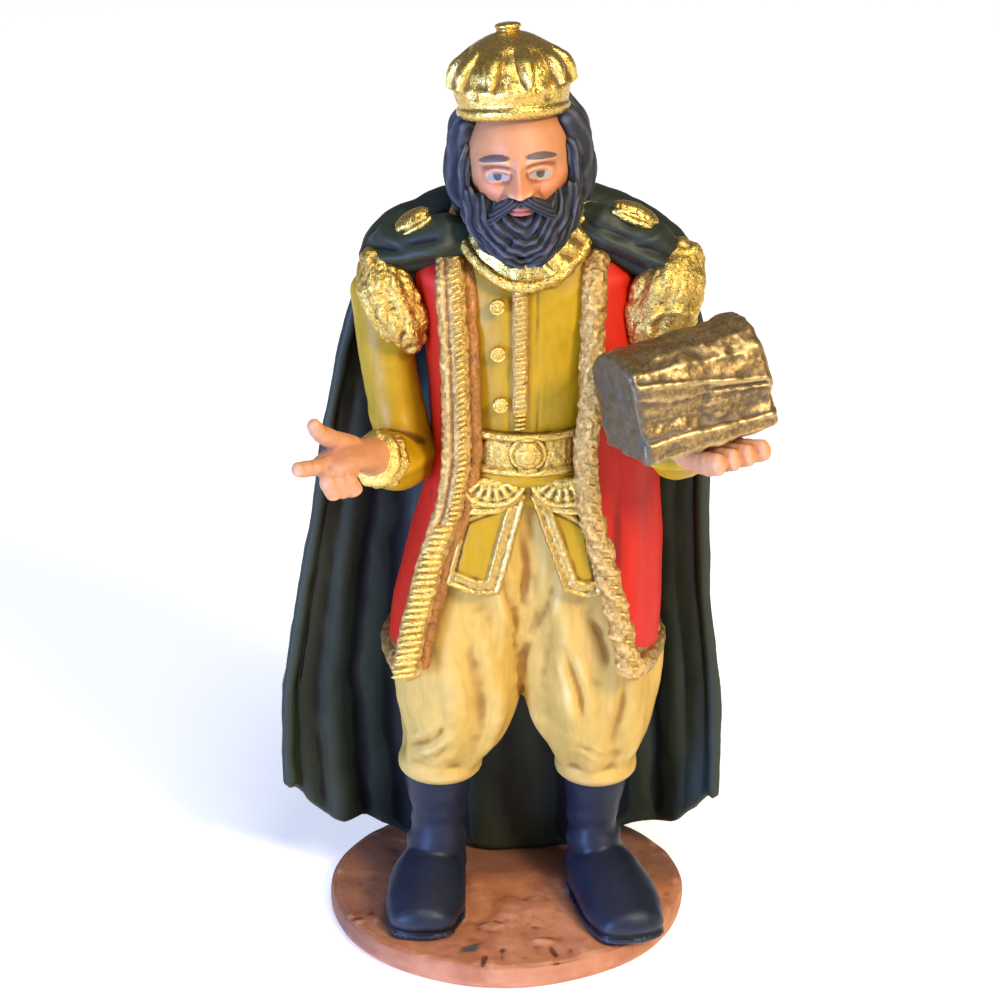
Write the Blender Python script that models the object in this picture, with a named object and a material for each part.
"""A nativity wise man, hand-built in clay: the figure, the round base it stands on, and its gift.

The figure is one piece, from its crown to its boots and cape. Its pose and carving are
shares of its own height, measured from the soles. +X is the viewer's right, -Y faces the
viewer, +Z is up, and the origin is at the middle of the base's underside. Metres.
"""

import math

import bmesh
import bpy
import numpy as np
from mathutils import Euler, Matrix, Vector

# Driving sizes
FIGURE_HEIGHT = 0.194  # soles to the knob of the crown
BASE_WIDTH = 0.0775
BASE_DEPTH = 0.0735
BASE_THICKNESS = 0.0055
BASE_EDGE = 0.0014  # rounding of the rim
CASKET_LENGTH = 0.0295
CASKET_WIDTH = 0.0187
CASKET_HEIGHT = 0.0212  # underside to the crest of the lid, at the near end
SEAT_GAP = 0.0003  # what keeps a piece clear of the one that carries it

# The figure's own measure: 194 shares from soles to crown
SHARE = FIGURE_HEIGHT / 194
SOLES = BASE_THICKNESS + SEAT_GAP
GRAIN = 0.58 * SHARE  # side of the cubes that fuse the clay forms into one skin
FIGURE_FACES = 8900
ZONE_FACES = {"cloth": 2500, "dress": 3600}  # what two of its three zones are thinned to first

# The casket lies across the open hand, its long side turned and lifted
CASKET_TURN = math.radians(25)
CASKET_LIFT = math.radians(8)
CASKET_ROLL = math.radians(-7)
CASKET_NEAR_CORNER = (19.8, -28.1, 115.3)  # lower back corner of its near end, in shares


def clear_scene():
    for thing in list(bpy.data.objects):
        bpy.data.objects.remove(thing, do_unlink=True)


def finish(name, colour, roughness, metallic=0.0):
    """A plain finish in the piece's main colour."""
    paint = bpy.data.materials.new(name)
    paint.use_nodes = True
    shader = paint.node_tree.nodes["Principled BSDF"]
    shader.inputs["Base Color"].default_value = (*colour, 1.0)
    shader.inputs["Roughness"].default_value = roughness
    shader.inputs["Metallic"].default_value = metallic
    return paint


# Curves, skins and the plain forms that the clay is built from

lean = Matrix.Identity(4)  # set while the head is made: its forms are upright, then leaned


def placed(point):
    """From shares, measured from the soles, to metres."""
    point = lean @ Vector(point)
    return Vector((point.x * SHARE, point.y * SHARE, point.z * SHARE + SOLES))


def through(keys, count):
    """Points on a smooth curve through the keys, whose rows may hold any numbers."""
    keys = np.array(keys, float)
    held = np.vstack([2 * keys[0] - keys[1], keys, 2 * keys[-1] - keys[-2]])
    found = []
    for place in np.linspace(0, len(keys) - 1, count):
        first = min(int(place), len(keys) - 2)
        t = place - first
        a, b, c, d = held[first : first + 4]
        bend = (2 * a - 5 * b + 4 * c - d) * t**2 + (3 * b - a - 3 * c + d) * t**3
        found.append(0.5 * (2 * b + (c - a) * t + bend))
    return np.array(found)


def between(table, height):
    """The values of a table at a height; its rows start with their height and go down."""
    rows = np.array(table, float)[::-1]
    return [np.interp(height, rows[:, 0], rows[:, k]) for k in range(1, rows.shape[1])]


def skin(forms, rings):
    """A closed skin over a row of rings with equal counts of points."""
    rows = [[forms.verts.new(Vector(point)) for point in ring] for ring in rings]
    count = len(rows[0])
    for lower, upper in zip(rows, rows[1:]):
        for i in range(count):
            j = (i + 1) % count
            forms.faces.new((lower[i], lower[j], upper[j], upper[i]))
    forms.faces.new(rows[0][::-1])
    forms.faces.new(rows[-1])


def round_ends(rows, bluntness):
    """Adds shrinking sections past both ends of a row of (x, y, z, width, depth) sections."""
    ends = []
    for end, inner in ((rows[0], rows[1]), (rows[-1], rows[-2])):
        way = (end[:3] - inner[:3]) / np.linalg.norm(end[:3] - inner[:3])
        added = []
        for angle in np.radians((25, 50, 75)):
            section = end.copy()
            section[:3] += way * math.sin(angle) * bluntness * min(end[3], end[4])
            section[3:] *= math.cos(angle)
            added.append(section)
        ends.append(added)
    return np.array(ends[0][::-1] + list(rows) + ends[1])


def limb(forms, stations, side=(1, 0, 0), sides=18, count=14, bluntness=0.8, carve=None):
    """A limb through stations (x, y, z, half width, half depth), in shares.

    Widths run along the given side. carve(along, around) is what the surface gains there.
    """
    rows = round_ends(through(stations, count), bluntness)
    rings = []
    for k, row in enumerate(rows):
        ahead = Vector(rows[min(k + 1, len(rows) - 1)][:3] - rows[max(k - 1, 0)][:3]).normalized()
        across = (Vector(side) - ahead * ahead.dot(Vector(side))).normalized()
        deep = ahead.cross(across)
        ring = []
        for angle in np.linspace(0, math.tau, sides, endpoint=False):
            gain = carve(k / (len(rows) - 1), angle) if carve else 0.0
            out = across * (row[3] + gain) * math.cos(angle) + deep * (row[4] + gain) * math.sin(angle)
            ring.append(placed(Vector(row[:3]) + out))
        rings.append(ring)
    skin(forms, rings)


def ball(forms, centre, radii, turn=(0, 0, 0), sides=16):
    """An egg with the given radii, in shares, turned by degrees."""
    spin = Euler([math.radians(a) for a in turn]).to_matrix()
    rings = []
    for polar in np.linspace(0, math.pi, sides // 2 + 2)[1:-1]:
        ring = []
        for angle in np.linspace(0, math.tau, sides, endpoint=False):
            x, y = math.sin(polar) * math.cos(angle), math.sin(polar) * math.sin(angle)
            point = Vector((radii[0] * x, radii[1] * y, -radii[2] * math.cos(polar)))
            ring.append(placed(Vector(centre) + spin @ point))
        rings.append(ring)
    skin(forms, rings)


def plate(forms, outline, thickness, bulge):
    """A pillow-fronted slab that faces -Y; its outline is a loop of points, in shares."""
    points = [Vector(point) for point in outline]
    middle = sum(points, Vector()) / len(points)
    back = [placed(point + Vector((0, thickness, 0))) for point in points]
    front = [placed(point) for point in points]
    crest = [placed(point.lerp(middle, 0.3) - Vector((0, bulge, 0))) for point in points]
    skin(forms, [back, front, crest])


# Boots and breeches: rows are x, y, z, half width, half depth, from the top down

BREECHES = {
    "right": (
        (-2.4, -3, 100, 12, 12),
        (-6.2, -3.5, 80, 12.8, 13),
        (-10, -4, 62, 13.8, 13),
        (-10.6, -4, 52, 13.8, 12.6),
        (-11.8, -3.5, 42, 11.8, 11),
        (-13.8, -3, 34.5, 8.8, 8.4),
        (-14.2, -3, 32, 8.2, 7.8),
    ),
    "left": (
        (10, -3, 100, 13, 12),
        (14.5, -3, 80, 14, 13),
        (17.6, -3, 62, 14.6, 13),
        (18.0, -3, 52, 14.6, 12.6),
        (19, -2.5, 41, 12.2, 11),
        (19.4, -2, 33, 8.6, 8.4),
        (19.4, -2, 31, 8, 7.8),
    ),
}
BOOT_SHAFTS = {
    "right": (
        (-14.6, -3, 31, 7.8, 7.4),
        (-14.8, -3, 25, 6.6, 6.8),
        (-14.8, -3, 17, 5.8, 6.4),
        (-15.2, -3.4, 8, 6.6, 7.6),
        (-15.4, -3.4, -1, 6.8, 7.6),
    ),
    "left": (
        (19.3, -2, 30, 7.2, 7.2),
        (19.2, -2, 24, 6.2, 6.6),
        (19.0, -2, 16, 5.4, 6.2),
        (19.8, -2.6, 8, 6.4, 7.6),
        (20, -2.6, -1, 6.6, 7.6),
    ),
}
FEET = {  # from heel to toe
    "right": (
        (-14.4, 2, 4, 5, 5),
        (-15.6, -3, 5, 7, 7),
        (-16.8, -9, 5.2, 8, 7.2),
        (-17.6, -17, 4, 8.6, 6),
        (-17.8, -23, 2.8, 7.4, 4.8),
    ),
    "left": (
        (17.8, 3, 4, 5, 5),
        (19.8, -2, 5, 6.8, 7),
        (21.8, -8.5, 5.2, 8, 7.2),
        (24.8, -17.4, 4, 8.5, 6),
        (26.8, -24.6, 2.8, 7.2, 4.8),
    ),
}
CUFF_PROUD = 0.8


def gathers(along, around):
    """Soft folds that gather the breeches into their cuffs."""
    swell = math.sin(math.pi * min(1, max(0, along))) ** 0.7
    return 0.8 * math.sin(7 * around + 3 * along) * swell


def add_legs(forms):
    for side in ("right", "left"):
        limb(forms, BREECHES[side], sides=36, count=20, bluntness=0.2, carve=gathers)
        x, y, z, width, depth = BREECHES[side][-1]
        profile = ((1.8, 0), (0.8, CUFF_PROUD), (-1.4, CUFF_PROUD), (-2.4, 0))
        cuff = [(x, y, z + up, width + out, depth + out) for up, out in profile]
        limb(forms, cuff, sides=24, count=8, bluntness=0.2)
        limb(forms, BOOT_SHAFTS[side], sides=20, count=10, bluntness=0.3)
        limb(forms, FEET[side], sides=18, count=10)
    # Seat of the breeches, closed between the thighs
    limb(forms, ((3.5, -2, 104, 16, 12.5), (3.5, -2, 84, 17, 12), (3.5, -1.5, 62, 12, 10)), sides=28)
    ball(forms, (3.3, -1, 57), (5, 8, 8))


# Trunk, coat and belt

TRUNK = (
    (3.8, -3, 96, 15.5, 13),
    (3.8, -3.2, 109, 15.5, 13.3),
    (4, -3.5, 122, 17.5, 13.2),
    (4.2, -3, 135, 19.5, 12.8),
    (4.2, -1.5, 145, 18.5, 11),
    (4, -1, 151, 12, 9),
)
COAT = (  # height, x of the left and right front edges, of the left and right sides, front y
    (150, -11, 18.5, -16, 23, -6),
    (144, -10.6, 17.6, -19.5, 26.4, -12.5),
    (132, -9.9, 17.2, -17, 27.6, -16.5),
    (120, -9.5, 16.9, -16, 30, -17.8),
    (108, -9.4, 16, -15.6, 31.4, -18),
    (98, -11, 16.8, -16.6, 32, -18.4),
    (86, -15, 20, -20, 32.6, -19),
    (72, -18.6, 23.6, -23.4, 32.6, -20),
    (60, -20.8, 26.2, -25, 32, -20.4),
)
COAT_THICKNESS = 2.6
COAT_BACK = 13.5  # y of its back, which the cape hangs on
BRAID_WIDTH = 2.5
BRAID_DEPTH = 1.9
BELT_HEIGHT = 109.0
BELT_HALF = 4.6


def coat_line(height):
    """The coat's outer line at one height, from its left front edge round behind to its right."""
    front_l, front_r, side_l, side_r, front_y = between(COAT, height)
    middle = (side_l + side_r) / 2
    left = ((front_l, front_y), (front_l * 0.35 + side_l * 0.65, front_y * 0.72), (side_l, -1))
    right = ((side_r, -1), (front_r * 0.35 + side_r * 0.65, front_y * 0.72), (front_r, front_y))
    corners = [(side * 0.8 + middle * 0.2, 9) for side in (side_l, side_r)]
    keys = (*left, corners[0], (middle, COAT_BACK), corners[1], *right)
    return through([(x, y, height) for x, y in keys], 40)


def inset(line, depth):
    """A line that goes round behind the body, moved towards the body by depth."""
    inwards = np.cross(np.gradient(line, axis=0), (0, 0, 1))
    return line + inwards / np.linalg.norm(inwards, axis=1)[:, None] * depth


def add_coat(forms):
    rings = []
    for height in np.linspace(COAT[0][0], COAT[-1][0], 26):
        outer = coat_line(height)
        inner = inset(outer, COAT_THICKNESS)
        rings.append([placed(point) for point in [*outer, *inner[::-1]]])
    skin(forms, rings)
    # Gilt braid runs down both front edges and along the hem
    for edge in (0, 1):
        route = []
        for height in np.linspace(149, COAT[-1][0] + 1, 16):
            values = between(COAT, height)
            route.append((values[edge], values[4] - 0.3, height, BRAID_WIDTH, BRAID_DEPTH))
        limb(forms, route, sides=12, count=40)
    hem = coat_line(COAT[-1][0] + 1.4)
    limb(forms, [(*p, BRAID_WIDTH * 0.9, 1.6) for p in hem], side=(0, 0, 1), sides=12, count=44)


def add_dress(forms):
    """Trunk, belt with its buckle, placket, buttons and the hanging tabs."""
    limb(forms, TRUNK, sides=28, count=16, bluntness=0.3)
    rings = []
    rim = 1.6
    for up, out in ((0, 0), (0, 2), (rim, 2), (rim, 1.1)):
        rings.append((up - BELT_HALF, out))
    rings += [(-up, out) for up, out in rings[::-1]]
    belt = []
    for up, out in rings:
        ring = []
        for angle in np.linspace(0, math.tau, 40, endpoint=False):
            x, y = (15.5 + out) * math.cos(angle), (13.5 + out) * math.sin(angle)
            ring.append(placed((3.8 + x, -3.2 + y, BELT_HEIGHT + up)))
        belt.append(ring)
    skin(forms, belt)
    ball(forms, (4.4, -17.8, BELT_HEIGHT), (3.3, 1.8, 3.3))
    for x in (-2, 10.6):
        ball(forms, (x, -17.2, BELT_HEIGHT), (1.6, 1.5, 1.6), sides=10)
    limb(forms, [(2.9, y, z, 1.7, 1.3) for y, z in ((-15.4, 140), (-17, 128), (-16.9, 114))], count=10)
    for y, z in ((-16.1, 139), (-17, 129.6), (-17.2, 120)):
        ball(forms, (-1.7, y, z), (1.7, 1.4, 1.7), sides=12)
    # Two ribbed fans under the belt, and two bordered tabs that hang from it
    for way in (-1, 1):
        fan = ((0.2, 103.4), (1.4, 98.6), (6.4, 96), (13, 96), (13.4, 103.4))
        plate(forms, [(4.4 + way * x, -17.7, z) for x, z in fan], 4.0, bulge=1.3)
    for tab in (
        ((4.2, 100), (-1.4, 78.4), (-6.9, 78.2), (-12.4, 80.6), (-9, 94.6)),
        ((4.8, 100), (12, 79), (16, 77.6), (20, 78.4), (17, 93.6)),
    ):
        plate(forms, [(x, -17.2 - 0.1 * (100 - z), z) for x, z in tab], 5.0, bulge=0.6)


# Cape, with its rolled mantle and two gilt clasps

CAPE = (  # height, x of the left and right edges, y of the edges, y of the back
    (152, -18, 25, 3, 11),
    (147, -24, 32, 2, 12),
    (138, -30, 37.6, 2, 13),
    (124, -33.6, 40.4, 2, 13.5),
    (108, -37, 41.6, 3, 14),
    (88, -39.6, 41.4, 4, 14.5),
    (68, -43.4, 42.2, 4, 15),
    (45, -47.4, 44.8, 3, 16),
    (30, -47.8, 45.2, 2, 17),
    (18, -47.2, 44.8, 1, 17.5),
    (-3, -45.8, 44.2, 1, 18),
)
CAPE_TOP = 152.0
CAPE_THICKNESS = 2.7
FOLD_DEPTH = 1.6
HEM_CORNERS = {-1: 22.5, 1: 19.5}  # the hem lifts round its left and right front corners
HEM_SIDES = {-1: 8.5, 1: 7.0}
HEM_BEHIND = -1.5  # below the soles, where it is cut flat on the base
MANTLE = (  # x, y, z, half height, half depth, from one breast round behind the neck
    (-9.5, -6.5, 151.5, 4.2, 4),
    (-15, -6.5, 150.8, 5.2, 4.8),
    (-21, -5, 149, 5.2, 5),
    (-25, -0.5, 146, 4.8, 4.8),
    (-22, 5, 149, 4.8, 5),
    (-11, 8.4, 153, 4.8, 5),
    (4, 9.6, 155, 4.8, 5),
    (16, 8.6, 153.6, 4.8, 5),
    (27, 5.4, 149.6, 5, 5),
    (34.6, 0.5, 145, 5, 4.8),
    (32, -5, 146.6, 5.2, 4.8),
    (26, -6.4, 150.2, 5.6, 4.8),
    (19, -6.2, 153.2, 5, 4.4),
    (14.5, -5, 155.4, 3.8, 3.6),
)


def hem_height(side):
    """Height of the hem; side goes from -1, the left edge, through 0, the back, to 1."""
    way = 1 if side > 0 else -1
    rise = min(1, max(0, (abs(side) - 0.36) / 0.36))
    corner = max(0, (abs(side) - 0.74) / 0.26)
    low = HEM_BEHIND + (HEM_SIDES[way] - HEM_BEHIND) * rise * rise * (3 - 2 * rise)
    return low + (HEM_CORNERS[way] - HEM_SIDES[way]) * corner**2.2


def cape_point(angle, up):
    """A point of the cape's middle: angle goes round behind the body, up from hem to top."""
    side, behind = math.sin(angle), max(math.cos(angle), 0)
    hem = hem_height(side)
    height = hem + (CAPE_TOP - hem) * up
    left, right, edge_y, back_y = between(CAPE, height)
    fold = FOLD_DEPTH * (1 - up) ** 0.6 * math.sin(9 * angle + 1.4 * up + 0.6)
    x = (left + right) / 2 + (right - left) / 2 * side + 0.3 * fold * side
    tuck = 5.5 * (1 - up) ** 1.5 * math.exp(-(((x - 2) / 9) ** 2))  # between the heels
    return (x, edge_y + (back_y - edge_y) * behind**0.8 + fold * behind**0.5 - tuck, height)


def add_cape(forms):
    angles = math.pi / 2 * np.sin(np.linspace(-math.pi / 2, math.pi / 2, 61))
    rings = []
    for up in np.linspace(0, 1, 32):
        middle = np.array([cape_point(angle, up) for angle in angles])
        outer = inset(middle, -CAPE_THICKNESS / 2)
        inner = inset(middle, CAPE_THICKNESS / 2)
        rings.append([placed(point) for point in [*outer, *inner[::-1]]])
    skin(forms, rings)
    limb(forms, MANTLE, side=(0, 0, 1), sides=18, count=52)
    shoulders = (
        (-19, 0, 144, 6, 6),
        (-8, 1, 149, 6, 7),
        (4, 1, 151.5, 6, 8),
        (18, 1, 149, 6, 7),
        (28, 0, 144, 6, 6),
    )
    limb(forms, shoulders, side=(0, 0, 1), count=12)
    for x, y, z, long, tip in ((-18.8, -8.4, 154.4, 4, -34), (25.6, -9, 155, 5, 24)):
        ball(forms, (x, y, z), (long, 1.8, 2.4), turn=(-56, tip, 0))


# Arms, with their gilt puffs, and the open right hand

RIGHT_ARM = (
    (-26, -1, 139, 6, 5.6),
    (-24.8, -3, 128, 5.8, 5.6),
    (-22.6, -5, 114, 5.8, 5.8),
    (-20.6, -7, 105, 6.8, 6.6),
)
RIGHT_FOREARM = (
    (-19.4, -6, 104.8, 6.1, 5.9),
    (-22.4, -12, 105.4, 6.1, 5.9),
    (-25.2, -17.4, 107.8, 5.3, 5.3),
)
RIGHT_CUFF = ((-24.6, -16.2, 107.4, 5.8, 5.8), (-26.4, -19.8, 109, 5.6, 5.6))
RIGHT_PALM = (
    (-26.5, -19.5, 109.2, 4.2, 4.2),
    (-29.5, -23.5, 111.2, 3.2, 4.6),
    (-33, -27.5, 112, 2.6, 5),
    (-35.5, -30, 111.4, 2.3, 4.4),
)
RIGHT_THUMB = (
    (-31, -24, 113.5, 2.3, 2.3),
    (-34, -26.5, 115.6, 2.1, 2.1),
    (-37, -29, 118.2, 1.8, 1.8),
    (-38.3, -30, 120.6, 1.5, 1.5),
)
RIGHT_POINTER = ((-33, -28, 112.2, 2, 2), (-37, -31.5, 112.2, 1.8, 1.8), (-41.3, -34, 112.6, 1.6, 1.6))
LEFT_ARM = (
    (32, 0, 141, 6, 6),
    (33.2, -1, 128, 5.8, 6),
    (33.4, -3, 117, 6, 6.4),
    (33.4, -5, 111.6, 5.6, 6),
)
LEFT_FOREARM = ((33, -4, 111, 5.6, 5.6), (33.8, -13, 109.6, 5.4, 5.2), (35.6, -20.5, 109, 4.4, 4.6))
PUFFS = (
    (
        (-26.4, -4.5, 146, 4.4, 5),
        (-24.4, -7, 141, 5.9, 6.4),
        (-21, -8.4, 134.4, 5.6, 6),
        (-19, -8, 130.4, 3.8, 4.4),
    ),
    (
        (35.6, -4.5, 147, 4.6, 5),
        (33.4, -7, 142, 6.6, 6.8),
        (30.4, -8.6, 135, 6.6, 6.4),
        (29, -8, 129, 4.4, 4.6),
    ),
)


def quilting(along, around):
    return 0.8 * abs(math.sin(4 * around)) * math.sin(math.pi * along)


def add_arms(forms):
    limb(forms, RIGHT_ARM, count=12)
    for keys in (RIGHT_FOREARM, RIGHT_CUFF, RIGHT_PALM, RIGHT_THUMB, RIGHT_POINTER):
        limb(forms, keys, side=(0, 0, 1), count=9)
    for k in range(3):  # the other fingers curl down
        x, y = -34.6 + 1.9 * k, -30.5 + 0.8 * k
        curl = (
            (x, y, 111.4, 1.9, 1.7),
            (x - 0.8, y - 2.9, 109.8, 1.9, 1.7),
            (x + 0.4, y - 2.9, 107.2, 1.8, 1.6),
        )
        limb(forms, curl, count=7)
    limb(forms, LEFT_ARM, count=12)
    limb(forms, LEFT_FOREARM, side=(0, 0, 1), count=8)
    for puff in PUFFS:
        limb(forms, puff, sides=32, count=12, carve=quilting)


# Casket, and the hand that carries it


def casket_point(along, across, up):
    """A point of the casket: along it from its near end, across towards the viewer, and up."""
    turn, lift = CASKET_TURN, CASKET_LIFT
    length = Vector((math.cos(turn) * math.cos(lift), math.sin(turn) * math.cos(lift), math.sin(lift)))
    level = Vector((-math.sin(turn), math.cos(turn), 0))
    roll = Matrix.Rotation(CASKET_ROLL, 3, length)
    corner = placed(CASKET_NEAR_CORNER)
    return corner + length * along - (roll @ level) * across + (roll @ length.cross(level)) * up


def casket_ring(along, shrink, grow):
    """One section: straight walls with a rail, a lid that overhangs them, a rounded crest."""
    share = along / CASKET_LENGTH
    wall = CASKET_HEIGHT * (0.7 - 0.27 * share)  # the body gets lower towards its far end
    crest = CASKET_HEIGHT * (1 + 0.04 * share)
    width = CASKET_WIDTH
    lip = 0.04 * width
    rail = [(0, 0), (width, 0), (width + lip, 0.06), (width + lip, 0.3), (width, 0.36), (width, 0.86)]
    outline = [(across, up * wall) for across, up in rail]
    outline += [(width + lip, wall * 0.94), (width + lip, wall * 1.1)]
    for angle in np.radians((25, 50, 75, 105, 130, 155)):
        rise = (crest - wall * 1.1) * math.sin(angle) ** 0.8
        outline.append((width * (0.5 + 0.5 * math.cos(angle)), wall * 1.1 + rise))
    outline += [(-lip, wall * 1.1), (-lip, wall * 0.94), (0, wall * 0.86)]
    middle = Vector((width / 2, crest / 2))
    ring = []
    for across, up in outline:
        out = Vector((across, up)) - middle
        out = out * shrink + out.normalized() * grow
        ring.append(casket_point(along, *(middle + out)))
    return ring


def casket_mesh(grow=0.0):
    """The casket's solid, or with grow the space that it needs."""
    forms = bmesh.new()
    bevel = 0.05 * CASKET_LENGTH
    stops = [(0, -grow, 0.93), (bevel, -grow, 1)]
    stops += [(CASKET_LENGTH * k / 6, 0, 1) for k in range(1, 6)]
    stops += [(CASKET_LENGTH - bevel, grow, 1), (CASKET_LENGTH, grow, 0.93)]
    skin(forms, [casket_ring(along + out, shrink, grow) for along, out, shrink in stops])
    return solid_mesh("casket", forms)


def add_carrying_hand(forms):
    """Palm, fingers and thumb lie along the casket's underside."""

    def under(along, across, drop):
        point = casket_point(along * CASKET_LENGTH, across * CASKET_WIDTH, 0)
        return (point - Vector((0, 0, SOLES))) / SHARE - Vector((0, 0, drop))

    def finger(*keys):
        stations = [(*under(along, across, drop), wide, thick) for along, across, drop, wide, thick in keys]
        limb(forms, stations, side=(0, 0, 1), count=8, sides=14)

    finger((0.3, 0.1, 5.4, 3.4, 4.6), (0.5, 0.35, 4.8, 3.4, 5), (0.68, 0.6, 3.8, 3.2, 5.2))
    for k in range(4):
        start, tip = 0.44 + 0.1 * k, 0.52 + 0.115 * k
        finger((start, 0.6, 3.8, 2.4, 1.9), (start + 0.05, 0.9, 4.1, 2.5, 1.9), (tip, 1.06, 3.8, 2.3, 1.7))
    finger((0.72, 0.2, 3.4, 2.3, 2.1), (0.88, 0.28, 3.2, 2.3, 2), (1.0, 0.42, 2.4, 2.1, 1.8))


# Collar and head

NECK = (3.5, -1, 155)
HEAD_ROLL = math.radians(-4.3)
HEAD_NOD = math.radians(5)
CROWN_BAND = 22.9  # above the neck
CROWN_TILT = math.radians(-16)  # the crown sits tipped back on the head
PETALS = 10


def add_collar(forms):
    """A broad gilt collar, low in front and high behind."""
    rings = []
    for reach, lift in ((0.62, 1), (1, 1), (1, 0.55), (1, 0), (0.8, 0.0)):
        ring = []
        for angle in np.linspace(0, math.tau, 36, endpoint=False):
            low = 155 - 12.6 * max(0.0, -math.sin(angle)) ** 1.4
            x, y = (14.3 - 4.3 * lift) * math.cos(angle), (13 - 3.5 * lift) * math.sin(angle)
            ring.append(placed((3.8 + x * reach, -3 + y * reach, low + (161 - low) * lift)))
        rings.append(ring)
    skin(forms, rings)


def crown_ring(radius, height, reach=0.0, drop=0.0, hollow=0.0):
    """A ring of the crown. Petals reach out and drop; between them it hollows."""
    ring = []
    middle = Vector(NECK) + Vector((-0.4, -1.5, CROWN_BAND))
    tilt = Matrix.Rotation(CROWN_TILT, 3, "X")
    for angle in np.linspace(0, math.tau, PETALS * 8, endpoint=False):
        petal = abs(math.cos(PETALS * angle / 2)) ** 1.6
        r = radius + reach * petal - hollow * (1 - petal)
        x, y = r * math.cos(angle), r * math.sin(angle) * 1.04
        ring.append(placed(middle + tilt @ Vector((x, y, height - drop * petal))))
    return ring


def add_crown(forms):
    band = ((9.8, -1), (10.9, -1), (11.4, 0), (11.4, 1.2), (10.9, 2), (11.2, 4), (11.8, 7.4), (9, 7.6))
    skin(forms, [crown_ring(*row) for row in band])
    cap = (
        (9, 7.8),
        (11.9, 7.8, 0.9, 2.8, 0.4),
        (12, 8.8, 1, 2.2, 1.3),
        (11.1, 10.2, 0.9, 0.8, 1.4),
        (9.2, 12.2, 0.5, 0, 0.8),
        (6.2, 14.2),
        (3.4, 15.5),
        (2.7, 16.3),
        (1.4, 17.3),
    )
    skin(forms, [crown_ring(*row) for row in cap])


def add_beard(forms):
    """A full round form under locks that curl to the middle, with the moustache over it."""
    x, y, z = NECK
    ball(forms, (x, y - 8.6, z + 4.6), (10.8, 9, 9.6), sides=20)
    for k in range(9):
        way = (k - 4) / 4
        bow = math.cos(way * 1.2)
        lock = (
            (x + 9.8 * way, y - 9 - 5.2 * bow, z + 8.6 + 1.8 * abs(way), 1.4, 1.1),
            (x + 9.4 * way, y - 10.4 - 6.6 * bow, z + 4, 2.1, 1.8),
            (x + 6.2 * way, y - 10.8 - 6.8 * bow, z - 1, 2.1, 1.8),
            (x + 2.4 * way, y - 15, z - 4, 1.5, 1.4),
        )
        limb(forms, lock, count=10, sides=10)
    for way in (-1, 1):
        lip = (
            (x + way * 0.4, y - 15.2, z + 9.2, 1.1, 1),
            (x + way * 3.4, y - 15, z + 8.2, 1.5, 1.3),
            (x + way * 6.6, y - 13, z + 5.4, 1.2, 1.1),
        )
        limb(forms, lip, side=(0, 0, 1), count=8, sides=10)


def add_hair(forms):
    x, y, z = NECK
    ball(forms, (x, y + 2.5, z + 11), (12.6, 11, 13.5), sides=20)
    for way in (-1, 1):
        for k in range(4):  # locks that hang to the jaw, the later ones further back
            back, up = 3.4 * k, 0.6 * k
            lock = (
                (x + way * (10.2 - 0.4 * k), y - 4.5 + back, z + 22, 2, 2.2),
                (x + way * (12.4 - 0.2 * k), y - 3.8 + back, z + 14 + up, 2.5, 2.8),
                (x + way * (12.2 - 0.8 * k), y - 3 + back, z + 7 + up, 2.5, 2.8),
                (x + way * (10.2 - k), y - 1.4 + back, z + 1 + up, 1.9, 2.2),
            )
            limb(forms, lock, count=10, sides=12)
    for k in range(5):
        way = (k - 2) / 2
        flat = 2 * abs(way)
        lock = (
            (x + 7 * way, y + 8, z + 20, 2, 2),
            (x + 7.6 * way, y + 13 - flat, z + 12, 2.8, 2.2),
            (x + 7 * way, y + 11.6 - flat, z + 2, 2.4, 2),
        )
        limb(forms, lock, count=10, sides=12)


def add_head(forms):
    x, y, z = NECK
    limb(forms, ((x, y + 1, z - 8, 8.4, 8.4), (x, y + 0.5, z + 4, 8, 8)), count=5)
    ball(forms, (x, y - 2.5, z + 13), (11, 12, 14), sides=24)
    # Nose, brow, cheeks and eyes, plain and even
    nose = (
        (x, y - 14.2, z + 16.4, 1.3, 1.2),
        (x, y - 15.7, z + 13.6, 1.6, 1.4),
        (x, y - 16.6, z + 11.4, 2.3, 1.6),
    )
    limb(forms, nose, count=6, sides=10)
    for way in (-1, 1):
        brow = (
            (x + way * 1.8, y - 14.2, z + 17.4, 1.2, 1.2),
            (x + way * 4.6, y - 13.8, z + 18, 1.2, 1.2),
            (x + way * 7.8, y - 11.8, z + 16.8, 1.1, 1.1),
        )
        limb(forms, brow, side=(0, 0, 1), count=7, sides=8)
        ball(forms, (x + way * 6.2, y - 11.4, z + 11.2), (3, 2.6, 2.6), sides=12)
        ball(forms, (x + way * 4.2, y - 12.9, z + 14.5), (2, 1.4, 1.3), sides=10)
    add_hair(forms)
    add_beard(forms)
    add_crown(forms)


# Making the pieces


def solid_mesh(name, forms):
    bmesh.ops.recalc_face_normals(forms, faces=forms.faces)
    mesh = bpy.data.meshes.new(name)
    forms.to_mesh(mesh)
    forms.free()
    return mesh


def add_piece(name, mesh, paint):
    piece = bpy.data.objects.new(name, mesh)
    bpy.context.collection.objects.link(piece)
    mesh.materials.clear()
    mesh.materials.append(paint)
    mesh.shade_smooth()
    mesh.set_sharp_from_angle(angle=math.radians(50))
    return piece


def add_cutter(name, mesh):
    """A space that is cut out of the clay and isn't a piece itself."""
    cutter = bpy.data.objects.new(name, mesh)
    bpy.context.collection.objects.link(cutter)
    cutter.hide_render = True
    cutter.display_type = "WIRE"
    return cutter


def cut(piece, cutter):
    boolean = piece.modifiers.new("cut by " + cutter.name, "BOOLEAN")
    boolean.object = cutter
    boolean.operation = "DIFFERENCE"


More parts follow.
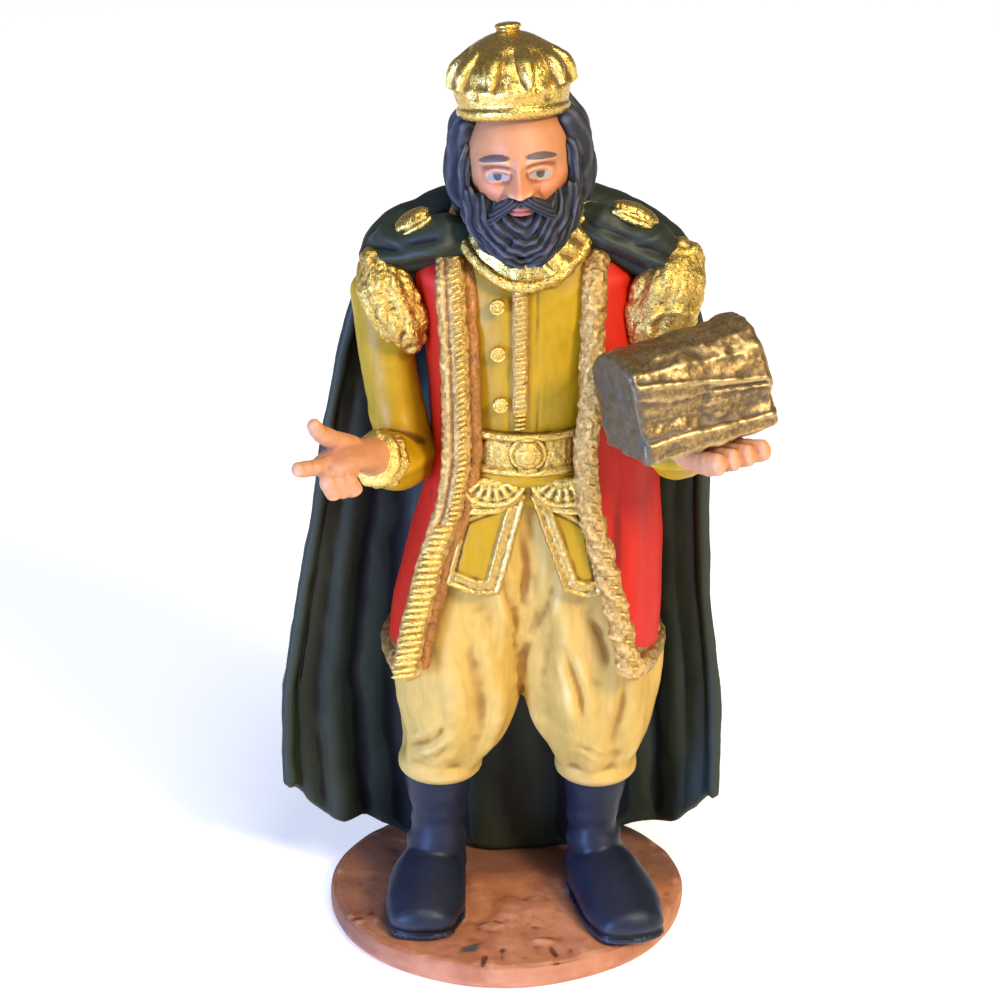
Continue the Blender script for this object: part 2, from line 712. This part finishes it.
def keep_outermost(mesh):
    """Keeps the largest connected skin, so that no sealed hollow is left inside the clay."""
    shell = bmesh.new()
    shell.from_mesh(mesh)
    waiting = set(shell.verts)
    skins = []
    while waiting:
        front = [waiting.pop()]
        found = list(front)
        while front:
            vert = front.pop()
            for edge in vert.link_edges:
                other = edge.other_vert(vert)
                if other in waiting:
                    waiting.remove(other)
                    found.append(other)
                    front.append(other)
        skins.append(found)
    skins.sort(key=len)
    for small in skins[:-1]:
        bmesh.ops.delete(shell, geom=small, context="VERTS")
    shell.to_mesh(mesh)
    shell.free()


def fused(forms, paint):
    """One skin over all the overlapping forms, a little softened, as clay is."""
    clay = add_piece("clay", solid_mesh("clay", forms), paint)
    fuse = clay.modifiers.new("fuse", "REMESH")
    fuse.mode = "VOXEL"
    fuse.voxel_size = GRAIN
    soften = clay.modifiers.new("soften", "SMOOTH")
    soften.factor = 0.5
    soften.iterations = 1
    graph = bpy.context.evaluated_depsgraph_get()
    mesh = bpy.data.meshes.new_from_object(clay.evaluated_get(graph), depsgraph=graph)
    bpy.data.objects.remove(clay, do_unlink=True)
    keep_outermost(mesh)
    return mesh


def zone(point):
    """The zone of a point: broad cloth, finer dress, or the head and hands."""
    x, y, z = point.x / SHARE, point.y / SHARE, (point.z - SOLES) / SHARE
    if z < 76 or (y > 4 and z < 150) or (z < 140 and (x < -30 or x > 35) and y > -8):
        return "cloth"
    return "head" if z > 155 or y < -19 and not -10 < x < 20 and z > 98 else "dress"


def thin_out(piece):
    """Thins each zone to its count of faces, and then the whole piece to its own."""
    mesh = piece.data
    counts = {"cloth": 0, "dress": 0, "head": 0}
    for face in mesh.polygons:
        counts[zone(face.center)] += len(face.vertices) - 2
    left = sum(counts.values())
    for name, most in ZONE_FACES.items():
        group = piece.vertex_groups.new(name=name)
        group.add([vert.index for vert in mesh.vertices if zone(vert.co) == name], 1.0, "REPLACE")
        thin = piece.modifiers.new("thin the " + name, "DECIMATE")
        thin.vertex_group = name
        thin.ratio = (left - counts[name] + most) / left
        left = left - counts[name] + most
    whole = piece.modifiers.new("thin the whole", "DECIMATE")
    whole.ratio = FIGURE_FACES / left


def make_figure(paint, casket_space):
    global lean
    forms = bmesh.new()
    for add in (add_legs, add_dress, add_coat, add_cape, add_arms, add_carrying_hand, add_collar):
        add(forms)
    pivot = Matrix.Translation(NECK)
    turn = Matrix.Rotation(HEAD_NOD, 4, "X") @ Matrix.Rotation(HEAD_ROLL, 4, "Y")
    lean = pivot @ turn @ pivot.inverted()
    add_head(forms)
    lean = Matrix.Identity(4)
    figure = add_piece("figure", fused(forms, paint), paint)
    thin_out(figure)
    far = FIGURE_HEIGHT
    floor = bmesh.new()
    bmesh.ops.create_cube(floor, size=far)
    bmesh.ops.translate(floor, verts=floor.verts, vec=(0, 0, SOLES - far / 2))
    cut(figure, add_cutter("floor_space", solid_mesh("floor_space", floor)))
    cut(figure, casket_space)


def make_base(paint):
    """A hand-patted disc, a little out of round, with a rounded rim."""
    forms = bmesh.new()
    edge, thick = BASE_EDGE, BASE_THICKNESS
    soft = 0.3 * edge
    rings = []
    steps = ((0.8 * edge, 0), (0, edge), (0, thick - edge), (soft, thick - soft), (edge, thick))
    for inset_by, height in steps:
        ring = []
        for angle in np.linspace(0, math.tau, 48, endpoint=False):
            uneven = 1 + 0.006 * math.sin(3 * angle + 0.7) + 0.004 * math.sin(7 * angle)
            x = (BASE_WIDTH / 2 * uneven - inset_by) * math.cos(angle)
            ring.append((x, (BASE_DEPTH / 2 * uneven - inset_by) * math.sin(angle), height))
        rings.append(ring)
    skin(forms, rings)
    add_piece("base", solid_mesh("base", forms), paint)


def main():
    clear_scene()
    casket_space = add_cutter("casket_space", casket_mesh(SEAT_GAP))
    make_figure(finish("painted_clay", (0.12, 0.11, 0.06), 0.5), casket_space)
    make_base(finish("terracotta", (0.33, 0.13, 0.06), 0.7))
    add_piece("casket", casket_mesh(), finish("bronze_paint", (0.32, 0.21, 0.08), 0.42, 0.6))


main()
